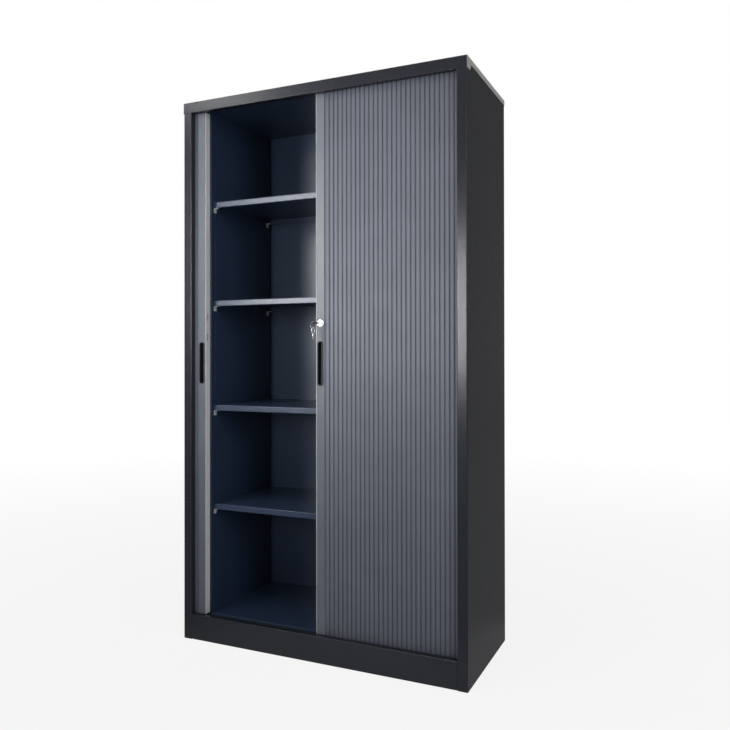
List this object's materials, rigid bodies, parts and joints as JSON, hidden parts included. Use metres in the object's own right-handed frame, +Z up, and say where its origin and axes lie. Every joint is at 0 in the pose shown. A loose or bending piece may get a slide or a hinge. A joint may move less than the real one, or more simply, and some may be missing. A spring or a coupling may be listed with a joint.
{
  "type": "tambour door cabinet",
  "caption": "Tall free-standing steel cupboard with shelves and slatted tambour doors that slide sideways round corner tracks into the side walls, with a hook-bolt lock.",
  "frame": {"origin": "centre of the footprint, on the floor", "axes": "+X to the viewer's right, -Y out of the doors, +Z up"},
  "size_m": [1, 0.473, 1.83],
  "materials": {
    "outer_paint": "fine-textured anthracite powder coat",
    "inner_paint": "fine-textured anthracite powder coat",
    "slat_plastic": "satin anthracite extrusion",
    "bar_paint": "satin anthracite powder coat",
    "edge_strip": "satin light grey extrusion",
    "pull_plastic": "moulded, fine spark-eroded texture",
    "track_plastic": "extruded, low sheen",
    "glider_plastic": "moulded",
    "zinc": "bright zinc plate",
    "chrome": "polished chrome plate",
    "key_plastic": "moulded black plastic",
    "stop_rubber": "soft rubber",
    "foot_plastic": "moulded black plastic"
  },
  "bodies": {
    "carcass": {"top_panel": "outer_paint", "head_panel": "inner_paint", "left_side_panel": "outer_paint", "right_side_panel": "outer_paint", "left_inner_panel": "inner_paint", "right_inner_panel": "inner_paint", "back_panel": "inner_paint", "base_panel": "inner_paint", "floor_panel": "inner_paint", "plinth": "outer_paint", "rear_base_rail": "outer_paint", "shelf_1": "inner_paint", "shelf_2": "inner_paint", "shelf_3": "inner_paint", "shelf_4": "inner_paint", "shelf_clips": "zinc", "bottom_front_track": "track_plastic", "top_front_track": "track_plastic", "left_bottom_track": "track_plastic", "right_bottom_track": "track_plastic", "left_top_track": "track_plastic", "right_top_track": "track_plastic", "track_stops": "stop_rubber", "back_panel_screws": "zinc", "foot_bushes": "zinc", "left_tambour": "slat_plastic", "right_tambour": "slat_plastic"},
    "right_door": {"right_lead_bar": "bar_paint", "right_edge_strip": "edge_strip", "right_lead_slat": "slat_plastic", "right_pull_cup": "pull_plastic", "right_gliders": "glider_plastic", "lock_housing": "chrome", "lock_case": "zinc"},
    "left_door": {"left_lead_bar": "bar_paint", "left_edge_strip": "edge_strip", "left_lead_slat": "slat_plastic", "left_pull_cup": "pull_plastic", "left_gliders": "glider_plastic"},
    "lock_cylinder": {"lock_plug": "chrome", "key": "key_plastic"},
    "upper_hook": {"upper_hook_bolt": "zinc"},
    "lower_hook": {"lower_hook_bolt": "zinc"},
    "link": {"link_bar": "zinc"},
    "ring": {"key_ring": "chrome"},
    "spare": {"spare_key": "chrome"},
    "foot_front_left": {"front_left_foot": "foot_plastic"},
    "foot_front_right": {"front_right_foot": "foot_plastic"},
    "foot_rear_left": {"rear_left_foot": "foot_plastic"},
    "foot_rear_right": {"rear_right_foot": "foot_plastic"}
  },
  "joints": [
    {"name": "right_door_slide", "type": "slide", "parent": "carcass", "child": "right_door", "axis": [1, 0, 0], "range_m": [0, 0.4232], "deforming": ["right_tambour"]},
    {"name": "left_door_slide", "type": "slide", "parent": "carcass", "child": "left_door", "axis": [1, 0, 0], "range_m": [0, 0.4232], "deforming": ["left_tambour"]},
    {"name": "lock_turn", "type": "hinge", "parent": "right_door", "child": "lock_cylinder", "pos_m": [0.0158, -0.2, 1.067], "axis": [0, -1, 0], "range_deg": [0, 90]},
    {"name": "upper_hook_turn", "type": "hinge", "parent": "right_door", "child": "upper_hook", "pos_m": [0.0123, -0.1915, 1.089], "axis": [0, -1, 0], "range_deg": [0, 90]},
    {"name": "lower_hook_turn", "type": "hinge", "parent": "right_door", "child": "lower_hook", "pos_m": [0.0123, -0.1915, 1.02], "axis": [0, -1, 0], "range_deg": [0, 90]},
    {"name": "link_bar_turn", "type": "hinge", "parent": "upper_hook", "child": "link", "pos_m": [0.0203, -0.1887, 1.089], "axis": [0, -1, 0], "range_deg": [-90, 0]},
    {"name": "key_ring_swing", "type": "hinge", "parent": "lock_cylinder", "child": "ring", "pos_m": [0.00605, -0.234, 1.067], "axis": [0, -1, 0], "range_deg": [-95, 10]},
    {"name": "spare_key_swing", "type": "hinge", "parent": "ring", "child": "spare", "pos_m": [0.00605, -0.234, 1.06035], "axis": [0, -1, 0], "range_deg": [-60, 60]},
    {"name": "front_left_foot_slide", "type": "slide", "parent": "carcass", "child": "foot_front_left", "axis": [0, 0, -1], "range_m": [0, 0.015]},
    {"name": "front_right_foot_slide", "type": "slide", "parent": "carcass", "child": "foot_front_right", "axis": [0, 0, -1], "range_m": [0, 0.015]},
    {"name": "rear_left_foot_slide", "type": "slide", "parent": "carcass", "child": "foot_rear_left", "axis": [0, 0, -1], "range_m": [0, 0.015]},
    {"name": "rear_right_foot_slide", "type": "slide", "parent": "carcass", "child": "foot_rear_right", "axis": [0, 0, -1], "range_m": [0, 0.015]}
  ],
  "couplings": [
    {"joint": "upper_hook_turn", "follows": "lock_turn", "ratio": 1},
    {"joint": "lower_hook_turn", "follows": "lock_turn", "ratio": 1},
    {"joint": "link_bar_turn", "follows": "lock_turn", "ratio": -1}
  ]
}
